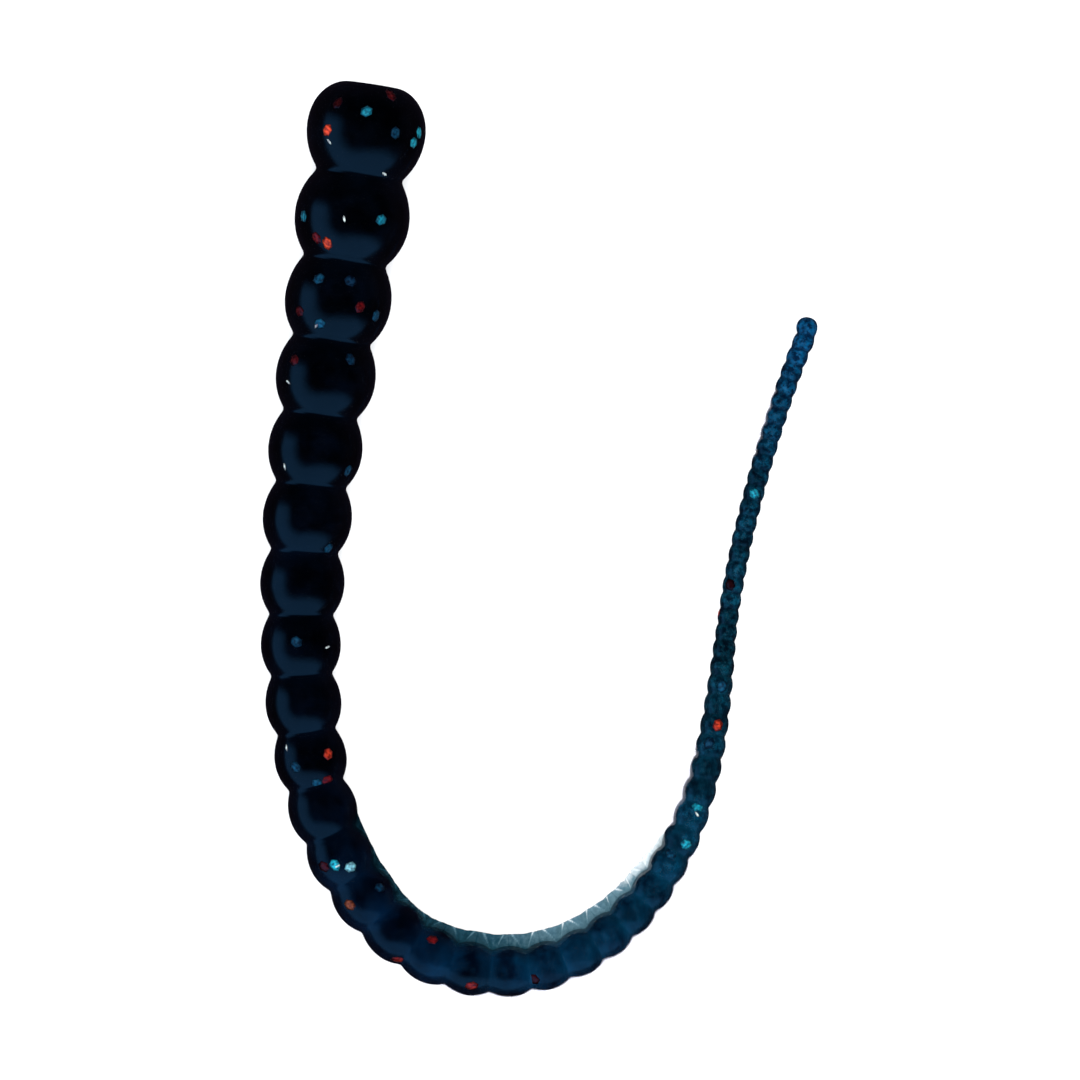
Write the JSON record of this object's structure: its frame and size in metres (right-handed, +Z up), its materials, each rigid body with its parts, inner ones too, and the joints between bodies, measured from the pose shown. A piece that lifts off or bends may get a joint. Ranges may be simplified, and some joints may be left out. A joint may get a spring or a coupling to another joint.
{
  "type": "soft plastic worm",
  "caption": "Ribbed soft plastic fishing worm with glitter flakes, tapering from a flat-cut nose to a thin tail, lying in a U; it bends at every neck.",
  "frame": {"origin": "middle of the worm's footprint, on the surface it lies on", "axes": "+Z up; +Y from the bend to the nose, the longest side; +X from the thick head limb to the thin tail limb"},
  "size_m": [0.0564, 0.0924, 0.012],
  "materials": {
    "dark_body": "wet gloss, almost black blue",
    "bend_body": "wet gloss, deep blue",
    "tail_body": "wet gloss, teal blue",
    "red_flake": "metallic flake",
    "blue_flake": "metallic flake"
  },
  "bodies": {
    "head_ring": {"head_ring": "dark_body", "head_ring_red_flakes": "red_flake", "head_ring_blue_flakes": "blue_flake"},
    "ring_02": {"ring_02": "dark_body", "ring_02_red_flakes": "red_flake", "ring_02_blue_flakes": "blue_flake"},
    "ring_03": {"ring_03": "dark_body", "ring_03_red_flakes": "red_flake", "ring_03_blue_flakes": "blue_flake"},
    "ring_04": {"ring_04": "dark_body"},
    "ring_05": {"ring_05": "dark_body"},
    "ring_06": {"ring_06": "dark_body"},
    "ring_07": {"ring_07": "dark_body"},
    "ring_08": {"ring_08": "dark_body"},
    "ring_09": {"ring_09": "dark_body"},
    "ring_10": {"ring_10": "dark_body"},
    "ring_11": {"ring_11": "dark_body"},
    "ring_12": {"ring_12": "dark_body"},
    "ring_13": {"ring_13": "bend_body"},
    "ring_14": {"ring_14": "bend_body"},
    "ring_15": {"ring_15": "bend_body"},
    "ring_16": {"ring_16": "bend_body"},
    "ring_17": {"ring_17": "bend_body"},
    "ring_18": {"ring_18": "bend_body"},
    "ring_19": {"ring_19": "bend_body"},
    "ring_20": {"ring_20": "bend_body"},
    "ring_21": {"ring_21": "bend_body"},
    "ring_22": {"ring_22": "bend_body"},
    "ring_23": {"ring_23": "bend_body"},
    "ring_24": {"ring_24": "bend_body"},
    "ring_25": {"ring_25": "bend_body"},
    "ring_26": {"ring_26": "bend_body"},
    "ring_27": {"ring_27": "bend_body"},
    "ring_28": {"ring_28": "bend_body"},
    "ring_29": {"ring_29": "tail_body"},
    "ring_30": {"ring_30": "tail_body"},
    "ring_31": {"ring_31": "tail_body"},
    "ring_32": {"ring_32": "tail_body"},
    "ring_33": {"ring_33": "tail_body"},
    "ring_34": {"ring_34": "tail_body"},
    "ring_35": {"ring_35": "tail_body"},
    "ring_36": {"ring_36": "tail_body"},
    "ring_37": {"ring_37": "tail_body"},
    "ring_38": {"ring_38": "tail_body"},
    "ring_39": {"ring_39": "tail_body"},
    "ring_40": {"ring_40": "tail_body"},
    "ring_41": {"ring_41": "tail_body"},
    "ring_42": {"ring_42": "tail_body"},
    "ring_43": {"ring_43": "tail_body"},
    "ring_44": {"ring_44": "tail_body"},
    "ring_45": {"ring_45": "tail_body"},
    "ring_46": {"ring_46": "tail_body"},
    "ring_47": {"ring_47": "tail_body"},
    "ring_48": {"ring_48": "tail_body"},
    "ring_49": {"ring_49": "tail_body"},
    "ring_50": {"ring_50": "tail_body"},
    "ring_51": {"ring_51": "tail_body"},
    "ring_52": {"ring_52": "tail_body"},
    "ring_53": {"ring_53": "tail_body"},
    "tail_tip": {"tail_tip": "tail_body"}
  },
  "joints": [
    {"name": "neck_01_lift", "type": "hinge", "parent": "ring_02", "child": "head_ring", "pos_m": [-0.01824, 0.03657, 0.00594], "axis": [0.9872, -0.1594, 0], "range_deg": [0, 9]},
    {"name": "neck_02_side", "type": "hinge", "parent": "ring_03", "child": "ring_02", "pos_m": [-0.0197, 0.02797, 0.00563], "axis": [0.0015, 0.0086, 1], "range_deg": [-4, 10]},
    {"name": "neck_03_lift", "type": "hinge", "parent": "ring_04", "child": "ring_03", "pos_m": [-0.02104, 0.02001, 0.00525], "axis": [0.9872, -0.1596, 0], "range_deg": [0, 9]},
    {"name": "neck_04_side", "type": "hinge", "parent": "ring_05", "child": "ring_04", "pos_m": [-0.0222, 0.01252, 0.00494], "axis": [0.0012, 0.0086, 1], "range_deg": [-4, 10]},
    {"name": "neck_05_lift", "type": "hinge", "parent": "ring_06", "child": "ring_05", "pos_m": [-0.02313, 0.00543, 0.00467], "axis": [0.9933, -0.1151, 0], "range_deg": [0, 9]},
    {"name": "neck_06_side", "type": "hinge", "parent": "ring_07", "child": "ring_06", "pos_m": [-0.0238, -0.00129, 0.00442], "axis": [0.0007, 0.0087, 1], "range_deg": [-4, 10]},
    {"name": "neck_07_lift", "type": "hinge", "parent": "ring_08", "child": "ring_07", "pos_m": [-0.02414, -0.00769, 0.00419], "axis": [0.9997, -0.0228, 0], "range_deg": [0, 9]},
    {"name": "neck_08_side", "type": "hinge", "parent": "ring_09", "child": "ring_08", "pos_m": [-0.02409, -0.01376, 0.00398], "axis": [-0.0004, 0.0087, 1], "range_deg": [-4, 10]},
    {"name": "head_lift", "type": "hinge", "parent": "ring_10", "child": "ring_09", "pos_m": [-0.0236, -0.01951, 0.00378], "axis": [0.9915, 0.1299, 0], "range_deg": [0, 9]},
    {"name": "head_sweep", "type": "hinge", "parent": "ring_11", "child": "ring_10", "pos_m": [-0.02263, -0.0249, 0.0036], "axis": [-0.002, 0.0085, 1], "range_deg": [-4, 10]},
    {"name": "neck_11_side", "type": "hinge", "parent": "ring_12", "child": "ring_11", "pos_m": [-0.02112, -0.02988, 0.00342], "axis": [0, 0, 1], "range_deg": [-0.86, 8.54]},
    {"name": "neck_12_side", "type": "hinge", "parent": "ring_13", "child": "ring_12", "pos_m": [-0.019, -0.03436, 0.00326], "axis": [0, 0, 1], "range_deg": [-1.08, 10.69]},
    {"name": "neck_13_side", "type": "hinge", "parent": "ring_14", "child": "ring_13", "pos_m": [-0.01623, -0.03816, 0.0031], "axis": [0, 0, 1], "range_deg": [-1.33, 13.19]},
    {"name": "neck_14_side", "type": "hinge", "parent": "ring_15", "child": "ring_14", "pos_m": [-0.01283, -0.04109, 0.00296], "axis": [0, 0, 1], "range_deg": [-1.51, 15]},
    {"name": "neck_15_side", "type": "hinge", "parent": "ring_16", "child": "ring_15", "pos_m": [-0.009, -0.04294, 0.00282], "axis": [0, 0, 1], "range_deg": [-1.46, 14.53]},
    {"name": "bend_opening", "type": "hinge", "parent": "ring_17", "child": "ring_16", "pos_m": [-0.00501, -0.04373, 0.00269], "axis": [0, 0, 1], "range_deg": [-1.4, 13.97]},
    {"name": "neck_17_side", "type": "hinge", "parent": "ring_17", "child": "ring_18", "pos_m": [-0.00115, -0.04354, 0.00256], "axis": [0, 0, -1], "range_deg": [-1.27, 12.63]},
    {"name": "neck_18_side", "type": "hinge", "parent": "ring_18", "child": "ring_19", "pos_m": [0.0024, -0.04257, 0.00244], "axis": [0, 0, -1], "range_deg": [-1.16, 11.57]},
    {"name": "neck_19_side", "type": "hinge", "parent": "ring_19", "child": "ring_20", "pos_m": [0.00553, -0.04098, 0.00233], "axis": [0, 0, -1], "range_deg": [-1.03, 10.22]},
    {"name": "neck_20_side", "type": "hinge", "parent": "ring_20", "child": "ring_21", "pos_m": [0.0082, -0.03896, 0.00222], "axis": [0, 0, -1], "range_deg": [-0.92, 9.13]},
    {"name": "neck_21_side", "type": "hinge", "parent": "ring_21", "child": "ring_22", "pos_m": [0.0104, -0.03666, 0.00211], "axis": [0, 0, -1], "range_deg": [-0.78, 7.7]},
    {"name": "neck_22_side", "type": "hinge", "parent": "ring_22", "child": "ring_23", "pos_m": [0.01218, -0.03421, 0.00201], "axis": [0, 0, -1], "range_deg": [-0.63, 6.2]},
    {"name": "neck_23_side", "type": "hinge", "parent": "ring_23", "child": "ring_24", "pos_m": [0.01362, -0.0317, 0.00192], "axis": [0, 0, -1], "range_deg": [-0.51, 5.01]},
    {"name": "neck_24_side", "type": "hinge", "parent": "ring_24", "child": "ring_25", "pos_m": [0.01477, -0.02921, 0.00183], "axis": [0, 0, -1], "range_deg": [-0.43, 4.23]},
    {"name": "neck_25_side", "type": "hinge", "parent": "ring_25", "child": "ring_26", "pos_m": [0.0157, -0.02676, 0.00174], "axis": [0, 0, -1], "range_deg": [-0.37, 3.62]},
    {"name": "neck_26_side", "type": "hinge", "parent": "ring_26", "child": "ring_27", "pos_m": [0.01642, -0.02438, 0.00166], "axis": [0, 0, -1], "range_deg": [-0.31, 3.08]},
    {"name": "tail_sweep", "type": "hinge", "parent": "ring_27", "child": "ring_28", "pos_m": [0.01699, -0.02208, 0.00158], "axis": [-0.0019, -0.0085, -1], "range_deg": [-2.5, 8]},
    {"name": "neck_28_side", "type": "hinge", "parent": "ring_28", "child": "ring_29", "pos_m": [0.01743, -0.01987, 0.0015], "axis": [-0.0016, -0.0086, -1], "range_deg": [-2.5, 8]},
    {"name": "tail_lift", "type": "hinge", "parent": "ring_29", "child": "ring_30", "pos_m": [0.01778, -0.01776, 0.00143], "axis": [0.9888, -0.149, 0], "range_deg": [0, 7]},
    {"name": "neck_30_side", "type": "hinge", "parent": "ring_30", "child": "ring_31", "pos_m": [0.01806, -0.01575, 0.00136], "axis": [-0.0011, -0.0087, -1], "range_deg": [-2.5, 8]},
    {"name": "neck_31_side", "type": "hinge", "parent": "ring_31", "child": "ring_32", "pos_m": [0.01829, -0.01384, 0.00129], "axis": [-0.001, -0.0087, -1], "range_deg": [-2.5, 8]},
    {"name": "neck_32_lift", "type": "hinge", "parent": "ring_32", "child": "ring_33", "pos_m": [0.0185, -0.01203, 0.00123], "axis": [0.9932, -0.1165, 0], "range_deg": [0, 7]},
    {"name": "neck_33_side", "type": "hinge", "parent": "ring_33", "child": "ring_34", "pos_m": [0.01871, -0.0103, 0.00117], "axis": [-0.0011, -0.0087, -1], "range_deg": [-2.5, 8]},
    {"name": "neck_34_side", "type": "hinge", "parent": "ring_34", "child": "ring_35", "pos_m": [0.01891, -0.00868, 0.00112], "axis": [-0.0011, -0.0087, -1], "range_deg": [-2.5, 8]},
    {"name": "neck_35_lift", "type": "hinge", "parent": "ring_35", "child": "ring_36", "pos_m": [0.01913, -0.00709, 0.00111], "axis": [0.9892, -0.1466, 0], "range_deg": [0, 7]},
    {"name": "neck_36_side", "type": "hinge", "parent": "ring_36", "child": "ring_37", "pos_m": [0.01938, -0.00551, 0.00111], "axis": [-0.0014, -0.0086, -1], "range_deg": [-2.5, 8]},
    {"name": "neck_37_side", "type": "hinge", "parent": "ring_37", "child": "ring_38", "pos_m": [0.01966, -0.00393, 0.00111], "axis": [-0.0016, -0.0086, -1], "range_deg": [-2.5, 8]},
    {"name": "neck_38_lift", "type": "hinge", "parent": "ring_38", "child": "ring_39", "pos_m": [0.01996, -0.00236, 0.00111], "axis": [0.9802, -0.1979, 0], "range_deg": [0, 7]},
    {"name": "neck_39_side", "type": "hinge", "parent": "ring_39", "child": "ring_40", "pos_m": [0.02029, -0.0008, 0.00111], "axis": [-0.0019, -0.0085, -1], "range_deg": [-2.5, 8]},
    {"name": "neck_40_side", "type": "hinge", "parent": "ring_40", "child": "ring_41", "pos_m": [0.02064, 0.00077, 0.00111], "axis": [-0.002, -0.0085, -1], "range_deg": [-2.5, 8]},
    {"name": "neck_41_lift", "type": "hinge", "parent": "ring_41", "child": "ring_42", "pos_m": [0.02102, 0.00232, 0.00111], "axis": [0.9708, -0.2401, 0], "range_deg": [0, 7]},
    {"name": "neck_42_side", "type": "hinge", "parent": "ring_42", "child": "ring_43", "pos_m": [0.02141, 0.00387, 0.00111], "axis": [-0.0022, -0.0084, -1], "range_deg": [-2.5, 8]},
    {"name": "neck_43_side", "type": "hinge", "parent": "ring_43", "child": "ring_44", "pos_m": [0.02182, 0.00542, 0.00111], "axis": [-0.0023, -0.0084, -1], "range_deg": [-2.5, 8]},
    {"name": "neck_44_lift", "type": "hinge", "parent": "ring_44", "child": "ring_45", "pos_m": [0.02225, 0.00696, 0.00111], "axis": [0.9621, -0.2727, 0], "range_deg": [0, 7]},
    {"name": "neck_45_side", "type": "hinge", "parent": "ring_45", "child": "ring_46", "pos_m": [0.0227, 0.0085, 0.00111], "axis": [-0.0025, -0.0084, -1], "range_deg": [-2.5, 8]},
    {"name": "neck_46_side", "type": "hinge", "parent": "ring_46", "child": "ring_47", "pos_m": [0.02316, 0.01003, 0.00111], "axis": [-0.0025, -0.0083, -1], "range_deg": [-2.5, 8]},
    {"name": "neck_47_lift", "type": "hinge", "parent": "ring_47", "child": "ring_48", "pos_m": [0.02363, 0.01156, 0.00111], "axis": [0.9534, -0.3018, 0], "range_deg": [0, 7]},
    {"name": "neck_48_side", "type": "hinge", "parent": "ring_48", "child": "ring_49", "pos_m": [0.02412, 0.01308, 0.00111], "axis": [-0.0027, -0.0083, -1], "range_deg": [-2.5, 8]},
    {"name": "neck_49_side", "type": "hinge", "parent": "ring_49", "child": "ring_50", "pos_m": [0.02463, 0.0146, 0.00111], "axis": [-0.0028, -0.0083, -1], "range_deg": [-2.5, 8]},
    {"name": "neck_50_lift", "type": "hinge", "parent": "ring_50", "child": "ring_51", "pos_m": [0.02516, 0.01611, 0.00111], "axis": [0.9419, -0.336, 0], "range_deg": [0, 7]},
    {"name": "neck_51_side", "type": "hinge", "parent": "ring_51", "child": "ring_52", "pos_m": [0.02571, 0.01762, 0.00111], "axis": [-0.003, -0.0082, -1], "range_deg": [-2.5, 8]},
    {"name": "neck_52_side", "type": "hinge", "parent": "ring_52", "child": "ring_53", "pos_m": [0.02627, 0.01911, 0.00111], "axis": [-0.0032, -0.0081, -1], "range_deg": [-2.5, 8]},
    {"name": "neck_53_lift", "type": "hinge", "parent": "ring_53", "child": "tail_tip", "pos_m": [0.02686, 0.0206, 0.00111], "axis": [0.9265, -0.3762, 0], "range_deg": [0, 7]}
  ],
  "couplings": [
    {"joint": "neck_01_lift", "follows": "head_lift", "ratio": 1},
    {"joint": "neck_02_side", "follows": "head_sweep", "ratio": 1},
    {"joint": "neck_03_lift", "follows": "head_lift", "ratio": 1},
    {"joint": "neck_04_side", "follows": "head_sweep", "ratio": 1},
    {"joint": "neck_05_lift", "follows": "head_lift", "ratio": 1},
    {"joint": "neck_06_side", "follows": "head_sweep", "ratio": 1},
    {"joint": "neck_07_lift", "follows": "head_lift", "ratio": 1},
    {"joint": "neck_08_side", "follows": "head_sweep", "ratio": 1},
    {"joint": "neck_11_side", "follows": "bend_opening", "ratio": 0.6106},
    {"joint": "neck_12_side", "follows": "bend_opening", "ratio": 0.7649},
    {"joint": "neck_13_side", "follows": "bend_opening", "ratio": 0.9439},
    {"joint": "neck_14_side", "follows": "bend_opening", "ratio": 1.0732},
    {"joint": "neck_15_side", "follows": "bend_opening", "ratio": 1.0397},
    {"joint": "neck_17_side", "follows": "bend_opening", "ratio": 0.9037},
    {"joint": "neck_18_side", "follows": "bend_opening", "ratio": 0.8277},
    {"joint": "neck_19_side", "follows": "bend_opening", "ratio": 0.7312},
    {"joint": "neck_20_side", "follows": "bend_opening", "ratio": 0.653},
    {"joint": "neck_21_side", "follows": "bend_opening", "ratio": 0.5511},
    {"joint": "neck_22_side", "follows": "bend_opening", "ratio": 0.4432},
    {"joint": "neck_23_side", "follows": "bend_opening", "ratio": 0.3582},
    {"joint": "neck_24_side", "follows": "bend_opening", "ratio": 0.3026},
    {"joint": "neck_25_side", "follows": "bend_opening", "ratio": 0.2589},
    {"joint": "neck_26_side", "follows": "bend_opening", "ratio": 0.2202},
    {"joint": "neck_28_side", "follows": "tail_sweep", "ratio": 1},
    {"joint": "neck_30_side", "follows": "tail_sweep", "ratio": 1},
    {"joint": "neck_31_side", "follows": "tail_sweep", "ratio": 1},
    {"joint": "neck_32_lift", "follows": "tail_lift", "ratio": 1},
    {"joint": "neck_33_side", "follows": "tail_sweep", "ratio": 1},
    {"joint": "neck_34_side", "follows": "tail_sweep", "ratio": 1},
    {"joint": "neck_35_lift", "follows": "tail_lift", "ratio": 1},
    {"joint": "neck_36_side", "follows": "tail_sweep", "ratio": 1},
    {"joint": "neck_37_side", "follows": "tail_sweep", "ratio": 1},
    {"joint": "neck_38_lift", "follows": "tail_lift", "ratio": 1},
    {"joint": "neck_39_side", "follows": "tail_sweep", "ratio": 1},
    {"joint": "neck_40_side", "follows": "tail_sweep", "ratio": 1},
    {"joint": "neck_41_lift", "follows": "tail_lift", "ratio": 1},
    {"joint": "neck_42_side", "follows": "tail_sweep", "ratio": 1},
    {"joint": "neck_43_side", "follows": "tail_sweep", "ratio": 1},
    {"joint": "neck_44_lift", "follows": "tail_lift", "ratio": 1},
    {"joint": "neck_45_side", "follows": "tail_sweep", "ratio": 1},
    {"joint": "neck_46_side", "follows": "tail_sweep", "ratio": 1},
    {"joint": "neck_47_lift", "follows": "tail_lift", "ratio": 1},
    {"joint": "neck_48_side", "follows": "tail_sweep", "ratio": 1},
    {"joint": "neck_49_side", "follows": "tail_sweep", "ratio": 1},
    {"joint": "neck_50_lift", "follows": "tail_lift", "ratio": 1},
    {"joint": "neck_51_side", "follows": "tail_sweep", "ratio": 1},
    {"joint": "neck_52_side", "follows": "tail_sweep", "ratio": 1},
    {"joint": "neck_53_lift", "follows": "tail_lift", "ratio": 1}
  ]
}
